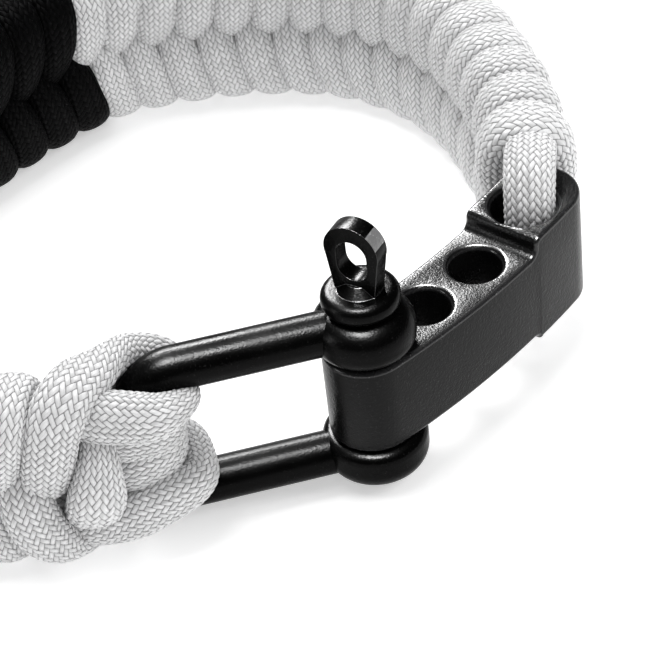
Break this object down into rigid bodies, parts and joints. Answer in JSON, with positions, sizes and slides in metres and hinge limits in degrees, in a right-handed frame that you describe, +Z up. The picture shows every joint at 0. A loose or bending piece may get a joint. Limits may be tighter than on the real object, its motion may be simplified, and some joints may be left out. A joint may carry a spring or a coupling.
{
  "type": "woven cord bracelet with screw-pin shackle",
  "caption": "Woven cord bracelet in white with a black stretch, closed by a black screw-pin shackle and a curved bar with size holes.",
  "frame": {"origin": "under the middle of the closed loop's box, on the surface that it lies on", "axes": "+Z up, the way the wrist goes through; +X from the shackle's bow towards the cord end of the bar; the clasp faces -Y"},
  "size_m": [0.0838, 0.0768, 0.0284],
  "materials": {
    "clasp_metal": "fine-grained black satin coat, brighter along worn edges",
    "pin_metal": "black satin coat, worn bright on one corner of the eye tab",
    "white_cord": "pale grey-white braided nylon sheath, silky",
    "black_cord": "black braided nylon sheath"
  },
  "bodies": {
    "bracelet": {"shackle": "clasp_metal", "adjuster_bar": "clasp_metal", "end_cord": "white_cord", "bow_knot": "white_cord", "white_band_near": "white_cord", "black_band": "black_cord", "white_band_far": "white_cord"},
    "pin": {"screw_pin": "pin_metal"}
  },
  "joints": [
    {"name": "pin_turn", "type": "hinge", "parent": "bracelet", "child": "pin", "pos_m": [0.01958, -0.02833, 0.0098], "axis": [0, 0, 1], "range_deg": [0, 360]}
  ]
}
